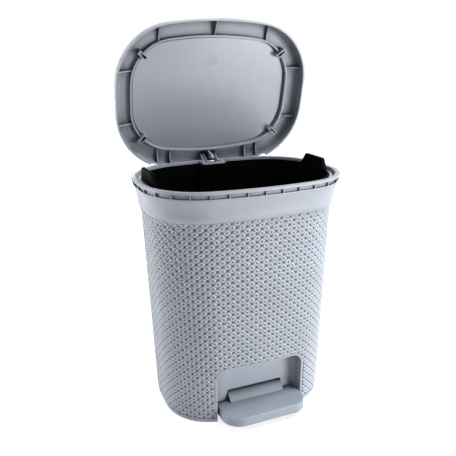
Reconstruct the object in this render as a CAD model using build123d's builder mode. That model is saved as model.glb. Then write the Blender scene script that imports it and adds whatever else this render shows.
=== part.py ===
from build123d import *
import os
from math import asin, atan2, cos, degrees, hypot, radians, sin, sqrt, tan

os.makedirs("parts", exist_ok=True)

# Plan shape shared by body, bag ring, bucket and lid: a rounded rectangle with bowed sides
front_bow = 525.0  # radius of the bowed front and back
side_bow = 850.0  # radius of the bowed sides
rim_half_width = 150.0
rim_half_depth = 111.8
rim_corner = 88.0

# Body shell
base_half_width = 125.5
base_half_depth = 92.35
base_corner = 71.0
shoulder_inset = 12.2  # the wall's top stands this far inside the rim
shoulder_corner_step = 9.0
wall_top_z = 303.0  # the textured wall ends here, under the shoulder
wall = 2.2
knit_depth = 0.9  # the textured wall lies this far back
floor_thick = 2.5
base_strip = 5.5  # plain strip round the foot

# Shoulder, band and ribbed collar under the rim
shoulder_height = 12.0
band_foot_inset = 7.6
band_head_inset = 2.4
band_height = 25.0
ledge_thick = 2.0
ledge_inset = 1.8
groove_height = 6.0
groove_depth = 4.0
lip_height = 3.6
lip_width = 6.4
rim_rib_inset = 0.9
rim_rib_width = 1.4
rim_rib_pitch = 25.0
band_z = wall_top_z + shoulder_height
band_top_z = band_z + band_height
groove_z = band_top_z + ledge_thick
rim_z = groove_z + groove_height + lip_height

# Pedal recess in the front and the slot in its back wall
recess_half_width = 69.0
recess_draft = 1.5  # how far each side closes in by the back wall
recess_height = 84.0
recess_round = 18.0
recess_depth = 24.85  # from the foot of the front to the back wall
recess_back_round = 9.0
recess_border = 3.0
slot_margin = 24.0  # from the recess side to the end of the slot
slot_low_z = 4.5
slot_high_z = 35.2
slot_round = 3.0
recess_back_y = recess_depth - base_half_depth
slot_half_width = recess_half_width - slot_margin

# Bag ring on the ledge inside the band
ring_drop = 29.0  # the ring's seat lies this far under the top of the band
ring_seat_inset = 10.2
ring_ledge = 2.9  # width of the ledge
ring_gap = 0.4
ring_wall = 2.4
ring_bead = 3.8
ring_bead_height = 3.0
ring_height = 36.0
shelf_thick = 2.5
shelf_inset = 17.8
ring_seat_z = band_top_z - ring_drop
shelf_top_z = band_top_z

# Bucket
bucket_wall = 2.2
bucket_floor_gap = 5.8  # over the roof of the recess
bucket_base_inset = 14.2  # inside the body wall's outline at the bucket's floor
bucket_neck_inset = 18.5  # under the turned-out rim
bucket_rim_inset = 14.8
bucket_rim_height = 9.0
groove_gap = 0.7
groove_rod_gap = 4.0  # from the middle of the push rod's foot to the groove
grip_foot = 36.0
grip_top = 24.0
grip_height = 16.5
grip_depth = 4.6
grip_wall = 1.8
bucket_floor_z = recess_height + wall + bucket_floor_gap

# Lid
lid_open = 77.46  # degrees, as it stands with the pedal pressed
lid_overhang = 3.7
lid_drop = 5.1  # the skirt hangs this far below the body's rim
lid_wall = 2.2
skirt_rise = 6.4  # above the body's rim, as are the rises that follow
skirt_draft = 0.4
lid_shoulder_width = 9.1
lid_shoulder_height = 11.5
lid_inner_inset = 21.0  # plain wall inside the channel
lid_inner_rise = 8.0
channel_rib = 1.6
channel_rib_rise = 0.5  # at the skirt
channel_rib_wall_rise = 10.4  # at the plain wall
side_rib_gap = 4.0  # from the end of a bucket grip
front_rib_x = 86.0
back_rib_x = 65.0
back_rib_pair = 21.0
back_relief_rise = 3.4  # the skirt is cut short behind the hinge line
back_relief_half = 100.0
back_relief_depth = 9.5  # in front of the hinge line
clip_width = 6.6
clip_length = 15.0
clip_wall = 1.4
clip_rise = 2.4
clip_inner_reach = 6.0  # how far a corner pocket stands inside the plain wall
clip_slot_width = 3.0
clip_slot_length = 5.4
prong_gap = 0.3
prong_length = 12.5

# Lid panel
panel_border = 10.5
panel_flange = 2.0
panel_plug = 3.0
panel_thick = 2.4
panel_groove = 3.0  # open groove between the dish and the plain wall
panel_gap = 0.3
panel_field_inset = 28.6
panel_mark_y = -52.0  # round mark of the mould
panel_mark_r = 8.0
panel_mark_depth = 0.3
panel_chamfer = 0.8

# Hinge, its pocket and the crank
hinge_inset = 5.3
hinge_drop = 2.6  # under the rim
pin_r = 2.0
pin_seat_gap = 0.02
pin_run_gap = 0.08
knuckle_r = 4.6
ear_in = 6.8
ear_thick = 2.0
ear_step = 4.2
lug_in = 13.6
pocket_half = 18.5
pocket_wall = 2.0
pocket_depth = 19.5  # from the hinge line forward
pocket_lean = 1.74  # degrees
pocket_drop = 3.0  # under the top of the wall
pocket_head_gap = 0.4  # the pocket's front wall ends this far under the rim
lug_drop = 5.0  # under the top of the band
notch_depth = 16.5  # from the hinge line forward
crank_r = 13.0
crank_knuckle_r = 3.2
fin_thick = 3.0

# Push rod
rod_r = 1.5
rod_run_gap = 0.08
rod_x = 4.6
rod_bend = 2.6
rod_end_x = 5.0
rod_clip_r = 3.2
rod_clip_thick = 1.0
rod_clip_gap = 0.4

# Pedal
pivot_inset = 17.5  # axle behind the recess's back wall
pivot_z = 17.5
rod_foot_gap = 7.5  # from the inside of the back wall
axle_r = 3.0
axle_seat_gap = 0.02
axle_run_gap = 0.06
hub_r = 7.0
post_gap = 2.0  # from the end of the slot to a post
post_width = 10.0
post_depth = 21.0
cap_height = 8.0
cap_screw_y = 6.7
screw_r = 1.2
screw_hole_gap = 0.25
screw_head_r = 2.5
screw_head_height = 2.0
screw_bite = 9.5
tread_side_gap = 3.6
tread_back_gap = 3.5
tread_overhang = 32.65  # in front of the body's foot
tread_top_z = 22.2
tread_tilt = 2.6  # degrees, the front edge stands a little higher
tread_thick = 12.9
tread_front_round = 27.0
tread_back_round = 9.5
tread_edge = 1.6
tread_skin = 2.8
tongue_side_gap = 1.2
tongue_fold = 11.5  # in front of the recess's back wall
tongue_reach = 1.0  # crest behind the recess's back wall
tongue_headroom = 4.9  # crest under the top of the slot
tongue_flat = 10.0
tongue_wall = 2.6
tongue_cells = 4
slit_width = 1.4
hub_end_gap = 0.4
tab_half_width = 26.0
tab_start = 4.0
tab_end = 23.0
tab_thick = 3.0
flange_low = 2.0
flange_thick = 3.0
flange_start = 8.0
flange_taper_end = 118.0
flange_tip_half = 6.0
web_thick = 4.0
web_low = -5.0
web_high = 6.5
web_end = 5.0  # past the foot of the push rod
fork_gap_along = 0.3
fork_gap_across = 0.45
tread_screw_x = 18.0
tread_screw_along = 15.0
tread_screw_r = 1.5

# Heights of the lid over the body's rim
lid_low_z = rim_z - lid_drop
skirt_top_z = rim_z + skirt_rise
lid_inner_low_z = rim_z + lid_inner_rise
back_relief_z = rim_z + back_relief_rise
clip_low_z = rim_z + clip_rise
lid_top_z = skirt_top_z + lid_shoulder_height
lid_roof_z = lid_top_z - lid_wall
side_rib_y = grip_foot + side_rib_gap

# Hinge line at the back of the rim, and the pocket round it
hinge_y = rim_half_depth - hinge_inset
hinge_z = rim_z - hinge_drop
pocket_front_y = hinge_y - pocket_depth
pocket_low_z = wall_top_z - pocket_drop
lug_low_z = band_top_z - lug_drop
notch_front_y = hinge_y - notch_depth
back_relief_y = hinge_y - back_relief_depth

# Tread and tongue in the recess and its slot
pivot_y = recess_back_y + pivot_inset
post_x = slot_half_width + post_gap + post_width / 2
tread_half_width = recess_half_width - tread_side_gap
tread_front_y = -base_half_depth - tread_overhang
tread_depth = recess_back_y - tread_back_gap - tread_front_y
tongue_half_width = slot_half_width - tongue_side_gap
tongue_fold_y = recess_back_y - tongue_fold
tongue_crest_y = recess_back_y + tongue_reach
tongue_crest_z = slot_high_z - tongue_headroom

# The crank stands as far above the hinge with the lid open as below it with the lid shut
half_swing = radians(lid_open) / 2
crank_y = hinge_y - crank_r * cos(half_swing)
crank_z = hinge_z + crank_r * sin(half_swing)
lift = crank_r * sin(half_swing)
rod_foot_y = base_half_depth - knit_depth - wall - rod_foot_gap
arm_length = hypot(rod_foot_y - pivot_y, lift)
half_nod = asin(lift / arm_length)
rod_foot_z = pivot_z + lift
fork_slide = arm_length - (rod_foot_y - crank_r * (1 - cos(half_swing)) - pivot_y)

rim = (rim_half_width, rim_half_depth, rim_corner)
base = (base_half_width, base_half_depth, base_corner)
wall_top = (
    rim_half_width - shoulder_inset,
    rim_half_depth - shoulder_inset,
    rim_corner - shoulder_corner_step,
)


def drawn_in(size, inset):
    """Size of the outline a distance inside another."""
    return tuple(value - inset for value in size)


def blend(size_a, size_b, share):
    """Size of an outline part of the way from one to another."""
    return tuple(a + (b - a) * share for a, b in zip(size_a, size_b))


def corner(size, inset=0.0):
    """Ends, middle and centre of the corner arc at the back right of an outline."""
    half_width, half_depth, round_r = drawn_in(size, inset)
    bow_r = front_bow - inset
    flank_r = side_bow - inset
    bow_centre = Vector(0, half_depth - bow_r)
    flank_centre = Vector(half_width - flank_r, 0)
    gap = flank_centre - bow_centre
    reach = bow_r - round_r
    along = (gap.length**2 + reach**2 - (flank_r - round_r) ** 2) / (2 * gap.length)
    across = sqrt(reach**2 - along**2)
    way = gap.normalized()
    centre = bow_centre + way * along + Vector(way.Y, -way.X) * across
    bow_end = bow_centre + (centre - bow_centre).normalized() * bow_r
    flank_end = flank_centre + (centre - flank_centre).normalized() * flank_r
    middle = centre + ((bow_end + flank_end) * 0.5 - centre).normalized() * round_r
    return bow_end, flank_end, middle, centre


def plan(size, inset=0.0):
    """Face of the bowed rounded rectangle, drawn in by inset all round."""
    bow_end, flank_end, middle, _ = corner(size, inset)
    half_width, half_depth, _ = drawn_in(size, inset)
    with BuildSketch() as face:
        with BuildLine():
            for side in (1, -1):
                for end in (1, -1):
                    ThreePointArc(
                        (flank_end.X * side, flank_end.Y * end),
                        (middle.X * side, middle.Y * end),
                        (bow_end.X * side, bow_end.Y * end),
                    )
                ThreePointArc(
                    (bow_end.X, bow_end.Y * side), (0, half_depth * side), (-bow_end.X, bow_end.Y * side)
                )
                ThreePointArc(
                    (flank_end.X * side, flank_end.Y),
                    (half_width * side, 0),
                    (flank_end.X * side, -flank_end.Y),
                )
        make_face()
    return face.sketch


def pocketed(size, inset, half, front):
    """Plan face with a rectangular bite out of its back for the hinge pocket."""
    depth = size[1] - front + 1
    with BuildSketch() as face:
        add(plan(size, inset))
        with Locations((0, front + depth / 2)):
            Rectangle(2 * half, depth, mode=Mode.SUBTRACT)
    return face.sketch


def arch(half, height, round_r):
    """Upright opening with two rounded top corners, seen from the front."""
    with BuildSketch() as face:
        with Locations((0, height / 2)):
            Rectangle(2 * half, height)
        fillet(face.vertices().group_by(Axis.Y)[-1], round_r)
        with Locations((0, -half / 2)):
            Rectangle(2 * half, half)
    return face.sketch


def outline_of(*points):
    """Face bounded by straight lines through the points."""
    with BuildSketch() as face:
        with BuildLine():
            Polyline(*points, close=True)
        make_face()
    return face.sketch


def wall_size(z):
    """Size of the body wall's outline at a height."""
    return blend(base, wall_top, z / wall_top_z)


def pocket_y(z):
    """Front face of the hinge pocket at a height."""
    return pocket_front_y - (rim_z - z) * tan(radians(pocket_lean))


def lid_plane(z):
    """Level of the shut lid at a height, carried round the hinge to the open lid."""
    swing = radians(lid_open)
    rise = z - hinge_z
    origin_y = hinge_y * (1 - cos(swing)) + rise * sin(swing)
    origin_z = hinge_z + hinge_y * sin(swing) + rise * cos(swing)
    return Plane(origin=(0, origin_y, origin_z), x_dir=(1, 0, 0), z_dir=(0, sin(swing), cos(swing)))


def lid_side(x):
    """Upright plane of the lid through the hinge, at a distance to the side."""
    swing = radians(lid_open)
    return Plane(origin=(x, hinge_y, hinge_z), x_dir=(0, cos(swing), -sin(swing)), z_dir=(1, 0, 0))


def lid_cross(y):
    """Upright plane across the lid, at a distance from its middle."""
    swing = radians(lid_open)
    reach = y - hinge_y
    origin = (0, hinge_y + reach * cos(swing), hinge_z - reach * sin(swing))
    return Plane(origin=origin, x_dir=(1, 0, 0), z_dir=(0, -cos(swing), sin(swing)))


def lever_plane(height):
    """Level of the pedal lever at a height over the axle."""
    origin = (0, pivot_y - height * sin(half_nod), pivot_z + height * cos(half_nod))
    return Plane(origin=origin, x_dir=(1, 0, 0), z_dir=(0, -sin(half_nod), cos(half_nod)))


def lever_side(x):
    """Upright plane of the pedal lever through the axle, at a distance to the side."""
    return Plane(origin=(x, pivot_y, pivot_z), x_dir=(0, cos(half_nod), sin(half_nod)), z_dir=(1, 0, 0))


# Space inside the body, which goes round the recess
with BuildPart() as tub_space:
    with BuildSketch(Plane.XY.offset(floor_thick)):
        add(plan(wall_size(floor_thick), knit_depth + wall))
    with BuildSketch(Plane.XY.offset(wall_top_z)):
        add(plan(wall_top, knit_depth + wall))
    with BuildSketch(Plane.XY.offset(ring_seat_z)):
        add(plan(rim, ring_seat_inset + ring_ledge))
    loft(ruled=True)
    with BuildSketch(Plane.XZ.offset(-recess_back_y - wall)):
        add(arch(recess_half_width + wall, recess_height + wall, recess_round + wall))
    extrude(amount=base_half_depth, mode=Mode.SUBTRACT)

# The recess itself: flat back, rounded inner corners, arched front
with BuildPart() as recess_space:
    with BuildSketch(Plane.XY.offset(-floor_thick)) as recess_plan:
        add(
            outline_of(
                (-recess_half_width - recess_draft, 2 * recess_back_y),
                (recess_half_width + recess_draft, 2 * recess_back_y),
                (recess_half_width - recess_draft, recess_back_y),
                (-recess_half_width + recess_draft, recess_back_y),
            )
        )
        fillet(recess_plan.vertices().group_by(Axis.Y)[-1], recess_back_round)
    extrude(amount=recess_height + wall + floor_thick)
    with BuildSketch(Plane.XZ.offset(-recess_back_y)):
        add(arch(recess_half_width, recess_height, recess_round))
    extrude(amount=-recess_back_y, mode=Mode.INTERSECT)

# Plain border round the recess, flush with the base strip
with BuildPart() as recess_frame:
    with BuildSketch(Plane.XY):
        add(plan(base))
    with BuildSketch(Plane.XY.offset(wall_top_z)):
        add(plan(wall_top))
    loft(ruled=True)
    with BuildSketch(Plane.XZ):
        border_half = recess_half_width + recess_border
        add(arch(border_half, recess_height + recess_border, recess_round + recess_border))
    extrude(amount=rim_half_depth, mode=Mode.INTERSECT)

# Body
with BuildPart() as outer_body:
    with BuildSketch(Plane.XY):
        add(plan(base, knit_depth))
    with BuildSketch(Plane.XY.offset(wall_top_z)):
        add(plan(wall_top, knit_depth))
    loft(ruled=True)
    shoulder_steps = 4
    flare_steps = 5
    for step in range(shoulder_steps + 1):
        share = step / shoulder_steps
        with BuildSketch(Plane.XY.offset(wall_top_z + shoulder_height * share)):
            bulge = sin(share * radians(90))
            add(plan(blend(drawn_in(wall_top, knit_depth), drawn_in(rim, band_foot_inset), bulge)))
    for step in range(1, flare_steps + 1):
        share = step / flare_steps
        with BuildSketch(Plane.XY.offset(band_z + (band_top_z - band_z) * share)):
            add(plan(rim, band_foot_inset + (band_head_inset - band_foot_inset) * share**1.8))
    loft(ruled=True)
    with BuildSketch(Plane.XY):
        add(plan(base))
    extrude(amount=base_strip)
    add(recess_frame.part)
    with BuildSketch(Plane.XY.offset(band_top_z)):
        add(plan(rim, ledge_inset))
    extrude(amount=ledge_thick)
    with BuildSketch(Plane.XY.offset(groove_z)):
        add(plan(rim, groove_depth))
    extrude(amount=groove_height)
    with BuildSketch(Plane.XY.offset(groove_z + groove_height)):
        add(plan(rim))
    extrude(amount=lip_height)
    rib_reach = lip_width - rim_rib_inset
    rib_path = plan(rim, rim_rib_inset + rib_reach / 2).face().outer_wire()
    rib_count = round(rib_path.length / rim_rib_pitch)
    with BuildSketch(Plane.XY.offset(groove_z)):
        for index in range(rib_count):
            spot = rib_path.position_at((index + 0.5) / rib_count)
            heading = rib_path.tangent_at((index + 0.5) / rib_count)
            with Locations(Location((spot.X, spot.Y, 0), (0, 0, degrees(atan2(heading.Y, heading.X))))):
                Rectangle(rim_rib_width, rib_reach)
    extrude(amount=groove_height)
    # Inside
    add(tub_space.part, mode=Mode.SUBTRACT)
    with BuildSketch(Plane.XY.offset(ring_seat_z)):
        add(plan(rim, ring_seat_inset))
    with BuildSketch(Plane.XY.offset(band_top_z)):
        add(plan(rim, lip_width))
    with BuildSketch(Plane.XY.offset(rim_z)):
        add(plan(rim, lip_width))
    loft(ruled=True, mode=Mode.SUBTRACT)
    add(recess_space.part, mode=Mode.SUBTRACT)
    with BuildSketch(Plane.XZ.offset(-recess_back_y - 2 * wall)):
        with Locations((0, (slot_low_z + slot_high_z) / 2)):
            RectangleRounded(2 * slot_half_width, slot_high_z - slot_low_z, slot_round)
    extrude(amount=3 * wall, mode=Mode.SUBTRACT)
    # Hinge pocket: a slanted front wall, two side walls and two lugs for the pin
    pocket_top_z = rim_z - pocket_head_gap
    wall_mid_y = rim_half_depth - shoulder_inset - knit_depth - wall / 2
    seat_mid_y = rim_half_depth - ring_seat_inset + wall / 2
    collar_mid_y = rim_half_depth - (lip_width + groove_depth) / 2
    with BuildSketch(Plane.YZ):
        add(
            outline_of(
                (pocket_y(pocket_low_z), pocket_low_z),
                (pocket_y(pocket_low_z) + pocket_wall, pocket_low_z),
                (pocket_y(pocket_top_z) + pocket_wall, pocket_top_z),
                (pocket_y(pocket_top_z), pocket_top_z),
            )
        )
    extrude(amount=pocket_half, both=True)
    for side in (1, -1):
        with BuildSketch(Plane.YZ.offset(side * (pocket_half - pocket_wall))):
            add(
                outline_of(
                    (pocket_y(pocket_low_z), pocket_low_z),
                    (pocket_y(pocket_top_z), pocket_top_z),
                    (collar_mid_y, pocket_top_z),
                    (collar_mid_y, band_top_z),
                    (seat_mid_y, ring_seat_z),
                    (wall_mid_y, wall_top_z),
                    (wall_mid_y, pocket_low_z),
                )
            )
        extrude(amount=side * pocket_wall)
        with BuildSketch(Plane.YZ.offset(side * lug_in)):
            add(
                outline_of(
                    (pocket_y(lug_low_z), lug_low_z),
                    (pocket_y(pocket_top_z), pocket_top_z),
                    (collar_mid_y, pocket_top_z),
                    (rim_half_depth - rim_rib_inset, groove_z + groove_height),
                    (rim_half_depth - ledge_inset, groove_z - ledge_thick / 2),
                    (collar_mid_y, groove_z - ledge_thick / 2),
                    (collar_mid_y - wall, lug_low_z),
                )
            )
        extrude(amount=side * (pocket_half - lug_in))
    with BuildSketch(Plane.XY.offset(groove_z)):
        with Locations((0, (notch_front_y + rim_half_depth) / 2 + 1)):
            Rectangle(2 * lug_in, rim_half_depth - notch_front_y + 2)
    extrude(amount=rim_z - groove_z, mode=Mode.SUBTRACT)
    with BuildSketch(Plane.YZ):
        with Locations((hinge_y, hinge_z)):
            Circle(pin_r + pin_seat_gap)
    extrude(amount=pocket_half, both=True, mode=Mode.SUBTRACT)
    # Posts under the pedal axle
    with BuildSketch(Plane.XY.offset(floor_thick / 2)):
        with Locations((post_x, pivot_y), (-post_x, pivot_y)):
            Rectangle(post_width, post_depth)
    extrude(amount=pivot_z - floor_thick / 2)
    with BuildSketch(Plane.YZ):
        with Locations((pivot_y, pivot_z)):
            Circle(axle_r + axle_seat_gap)
    extrude(amount=post_x + post_width, both=True, mode=Mode.SUBTRACT)
    with BuildSketch(Plane.XY.offset(pivot_z)):
        for side in (1, -1):
            with Locations((side * post_x, pivot_y + cap_screw_y), (side * post_x, pivot_y - cap_screw_y)):
                Circle(screw_r + axle_seat_gap)
    extrude(amount=-screw_bite, mode=Mode.SUBTRACT)
outer_body.part.label = "outer_body"
export_step(outer_body.part, "parts/outer_body.step")

# Bag ring, an L in section, stepped inward round the hinge pocket
ring_inset = ring_seat_inset + ring_gap
ring_jog_half = pocket_half + ring_gap
ring_jog_y = pocket_y(ring_seat_z) - ring_gap
with BuildPart() as bag_ring:
    with BuildSketch(Plane.XY.offset(ring_seat_z)):
        add(pocketed(rim, ring_inset, ring_jog_half, ring_jog_y))
        add(
            pocketed(rim, ring_inset + ring_wall, ring_jog_half + ring_wall, ring_jog_y - ring_wall),
            mode=Mode.SUBTRACT,
        )
    extrude(amount=ring_height)
    with BuildSketch(Plane.XY.offset(ring_seat_z + ring_height - ring_bead_height)):
        add(pocketed(rim, ring_inset, ring_jog_half + ring_wall, ring_jog_y - ring_wall))
        add(
            pocketed(rim, ring_inset + ring_bead, ring_jog_half + ring_wall, ring_jog_y - ring_wall),
            mode=Mode.SUBTRACT,
        )
    extrude(amount=ring_bead_height)
    with BuildSketch(Plane.XY.offset(shelf_top_z - shelf_thick)):
        add(pocketed(rim, ring_inset, ring_jog_half + ring_wall, ring_jog_y - ring_wall))
        add(plan(rim, shelf_inset), mode=Mode.SUBTRACT)
    extrude(amount=shelf_thick)
bag_ring.part.label = "bag_ring"
export_step(bag_ring.part, "parts/bag_ring.step")

def grip_outline(inset):
    """Side view of a grip, wider at the foot, drawn in by inset at the ends and the top."""
    top_z = bucket_top_z + grip_height
    return outline_of(
        (-grip_foot + inset, bucket_top_z),
        (grip_foot - inset, bucket_top_z),
        (grip_top - inset, top_z - inset),
        (-grip_top + inset, top_z - inset),
    )


# Groove up the bucket's back for the push rod and the hinge pocket
groove_half = ring_jog_half + ring_wall + groove_gap
groove_top_y = ring_jog_y - ring_wall - groove_gap
bucket_top_z = shelf_top_z + bucket_rim_height
groove_low_y = rod_foot_y - groove_rod_gap
bucket_base = drawn_in(wall_size(bucket_floor_z), bucket_base_inset)

# Space inside the bucket, with a ridge left up the back behind the groove
with BuildPart() as bucket_space:
    with BuildSketch(Plane.XY.offset(bucket_floor_z + bucket_wall)):
        add(plan(bucket_base, bucket_wall))
    with BuildSketch(Plane.XY.offset(shelf_top_z + bucket_wall)):
        add(plan(rim, bucket_neck_inset + bucket_wall))
    loft(ruled=True)
    with BuildSketch(Plane.XY.offset(shelf_top_z + bucket_wall)):
        add(plan(rim, bucket_rim_inset + bucket_wall))
    extrude(amount=bucket_rim_height - bucket_wall)
    with BuildSketch(Plane.YZ):
        add(
            outline_of(
                (groove_low_y - bucket_wall, bucket_floor_z),
                (groove_top_y - bucket_wall, bucket_top_z),
                (rim_half_depth, bucket_top_z),
                (rim_half_depth, bucket_floor_z),
            )
        )
    extrude(amount=groove_half + bucket_wall, both=True, mode=Mode.SUBTRACT)

# Hollow on the inner side of the grips
with BuildPart() as grip_space:
    with BuildSketch(Plane.XY.offset(bucket_top_z)):
        add(plan(rim, bucket_rim_inset + grip_wall))
    extrude(amount=grip_height)
    with BuildSketch(Plane.YZ):
        add(grip_outline(grip_wall))
    extrude(amount=rim_half_width, both=True, mode=Mode.INTERSECT)

# Raised grips on the bucket's left and right, in line with its rim
with BuildPart() as grips:
    with BuildSketch(Plane.XY.offset(bucket_top_z)):
        add(plan(rim, bucket_rim_inset))
        add(plan(rim, bucket_rim_inset + grip_depth), mode=Mode.SUBTRACT)
    extrude(amount=grip_height)
    with BuildSketch(Plane.YZ):
        add(grip_outline(0))
    extrude(amount=rim_half_width, both=True, mode=Mode.INTERSECT)
    add(grip_space.part, mode=Mode.SUBTRACT)

# Bucket, hung by its turned-out rim on the ring's shelf
with BuildPart() as inner_bucket:
    with BuildSketch(Plane.XY.offset(bucket_floor_z)):
        add(plan(bucket_base))
    with BuildSketch(Plane.XY.offset(shelf_top_z)):
        add(plan(rim, bucket_neck_inset))
    loft(ruled=True)
    with BuildSketch(Plane.XY.offset(shelf_top_z)):
        add(plan(rim, bucket_rim_inset))
    extrude(amount=bucket_rim_height)
    add(bucket_space.part, mode=Mode.SUBTRACT)
    with BuildSketch(Plane.YZ):
        add(
            outline_of(
                (groove_low_y, bucket_floor_z),
                (groove_top_y, bucket_top_z),
                (rim_half_depth, bucket_top_z),
                (rim_half_depth, bucket_floor_z),
            )
        )
    extrude(amount=groove_half, both=True, mode=Mode.SUBTRACT)
    add(grips.part)
inner_bucket.part.label = "inner_bucket"
export_step(inner_bucket.part, "parts/inner_bucket.step")

# Where the lid's corner pockets and the panel's four prongs lie
_, _, clip_spot, clip_centre = corner(rim, lid_inner_inset)
clip_way = (clip_spot - clip_centre).normalized()
clip_turn = degrees(atan2(clip_way.Y, clip_way.X))
clip_middle = clip_spot + clip_way * (clip_length / 2 - clip_inner_reach - lid_wall)
prong_middle = clip_spot + clip_way * (clip_slot_length / 2 + panel_gap)
clip_locations = []
prong_locations = []
for side in (1, -1):
    for end in (1, -1):
        turn = (0, 0, clip_turn * side * end)
        clip_locations.append(Location((clip_middle.X * side, clip_middle.Y * end, 0), turn))
        prong_locations.append(Location((prong_middle.X * side, prong_middle.Y * end, 0), turn))


def gusset(skirt, plain):
    """Side view of a channel rib, deep at the skirt and shallow where it runs past the plain wall."""
    past = plain + (plain - skirt) / 2
    return outline_of(
        (skirt, channel_rib_rise + hinge_drop),
        (plain, channel_rib_wall_rise + hinge_drop),
        (past, channel_rib_wall_rise + hinge_drop),
        (past, lid_top_z - hinge_z),
        (skirt, lid_top_z - hinge_z),
    )


# Ribs across the lid's channel, ended at its plain inner wall
with BuildPart() as channel_ribs:
    skirt_x = rim_half_width + lid_overhang
    skirt_y = rim_half_depth + lid_overhang
    plain_x = rim_half_width - lid_inner_inset
    plain_y = rim_half_depth - lid_inner_inset
    for side in (1, -1):
        for end in (1, -1):
            with BuildSketch(lid_cross(end * side_rib_y)):
                add(gusset(side * skirt_x, side * plain_x))
            extrude(amount=channel_rib / 2, both=True)
        with BuildSketch(lid_side(side * front_rib_x)):
            add(gusset(-skirt_y - hinge_y, -plain_y - hinge_y))
        extrude(amount=channel_rib / 2, both=True)
        for rib_x in (back_rib_x, back_rib_x + back_rib_pair):
            with BuildSketch(lid_side(side * rib_x)):
                add(gusset(skirt_y - hinge_y, plain_y - hinge_y))
            extrude(amount=channel_rib / 2, both=True)
    with BuildSketch(lid_side(0)):
        add(gusset(-skirt_y - hinge_y, -plain_y - hinge_y))
    extrude(amount=channel_rib / 2, both=True)
    with BuildSketch(lid_plane(rim_z)):
        add(plan(rim, lid_inner_inset + lid_wall / 2))
    extrude(amount=lid_top_z - rim_z, mode=Mode.SUBTRACT)

# Space inside the lid between its ribs, inner wall and corner pockets
lid_inset = -lid_overhang
lid_steps = 4
panel_low_z = lid_top_z - panel_plug
with BuildPart() as lid_space:
    with BuildSketch(lid_plane(lid_low_z)):
        add(plan(rim, lid_inset + lid_wall))
    for step in range(lid_steps + 1):
        bend = radians(90) * step / lid_steps
        with BuildSketch(lid_plane(skirt_top_z + (lid_shoulder_height - lid_wall) * sin(bend))):
            add(plan(rim, lid_inset + lid_wall + skirt_draft + lid_shoulder_width * (1 - cos(bend))))
    loft(ruled=True)
    with BuildSketch(lid_plane(lid_inner_low_z)):
        add(plan(rim, lid_inner_inset))
        add(plan(rim, lid_inner_inset + lid_wall), mode=Mode.SUBTRACT)
    extrude(amount=lid_top_z - lid_inner_low_z, mode=Mode.SUBTRACT)
    add(channel_ribs.part, mode=Mode.SUBTRACT)
    with BuildSketch(lid_plane(clip_low_z)):
        with Locations(*clip_locations):
            Rectangle(clip_length, clip_width)
            Rectangle(clip_length - 2 * clip_wall, clip_width - 2 * clip_wall, mode=Mode.SUBTRACT)
    extrude(amount=panel_low_z - panel_gap - clip_low_z, mode=Mode.SUBTRACT)
    with BuildSketch(lid_plane(clip_low_z)):
        with Locations(*clip_locations):
            Rectangle(clip_length, clip_width)
            Rectangle(clip_length - 2 * clip_wall, clip_width - 2 * clip_wall, mode=Mode.SUBTRACT)
        add(plan(rim, lid_inner_inset + lid_wall), mode=Mode.SUBTRACT)
    extrude(amount=lid_top_z - clip_low_z, mode=Mode.SUBTRACT)

# Lid frame
with BuildPart() as lid_frame:
    with BuildSketch(lid_plane(lid_low_z)):
        add(plan(rim, lid_inset))
    for step in range(lid_steps + 1):
        bend = radians(90) * step / lid_steps
        with BuildSketch(lid_plane(skirt_top_z + lid_shoulder_height * sin(bend))):
            add(plan(rim, lid_inset + skirt_draft + lid_shoulder_width * (1 - cos(bend))))
    loft(ruled=True)
    add(lid_space.part, mode=Mode.SUBTRACT)
    with BuildSketch(lid_plane(lid_roof_z)):
        add(plan(rim, lid_inner_inset + lid_wall))
        with Locations(*prong_locations):
            Rectangle(clip_slot_length, clip_slot_width)
    extrude(amount=lid_wall, mode=Mode.SUBTRACT)
    # Cut back behind the hinge line
    with BuildSketch(lid_plane(lid_low_z)):
        relief_depth = rim_half_depth + lid_overhang - back_relief_y + 1
        with Locations((0, back_relief_y + relief_depth / 2)):
            Rectangle(2 * back_relief_half, relief_depth)
    extrude(amount=back_relief_z - lid_low_z, mode=Mode.SUBTRACT)
    # Ears in two pairs, and the crank fin between them
    roof_rise = lid_roof_z + lid_wall / 2 - hinge_z
    for ear_x in (ear_in, ear_in + ear_step):
        for side in (1, -1):
            with BuildSketch(lid_side(side * ear_x)):
                Circle(knuckle_r)
                add(
                    outline_of(
                        (-knuckle_r, 0),
                        (knuckle_r, 0),
                        (knuckle_r + 1, roof_rise),
                        (-2.5 * knuckle_r, roof_rise),
                    )
                )
                Circle(pin_r + pin_run_gap, mode=Mode.SUBTRACT)
            extrude(amount=side * ear_thick)
    with BuildSketch(lid_side(-fin_thick / 2)):
        fin_y = -crank_r * cos(half_swing)
        fin_z = -crank_r * sin(half_swing)
        with Locations((fin_y, fin_z)):
            Circle(crank_knuckle_r)
        add(
            outline_of(
                (fin_y - crank_knuckle_r, fin_z),
                (fin_y + crank_knuckle_r, fin_z),
                (-knuckle_r, knuckle_r),
                (0, roof_rise),
                (-1.2 * crank_r, roof_rise),
            )
        )
        with Locations((fin_y, fin_z)):
            Circle(rod_r + rod_run_gap, mode=Mode.SUBTRACT)
    extrude(amount=fin_thick)
lid_frame.part.label = "lid_frame"
export_step(lid_frame.part, "parts/lid_frame.step")

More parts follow.
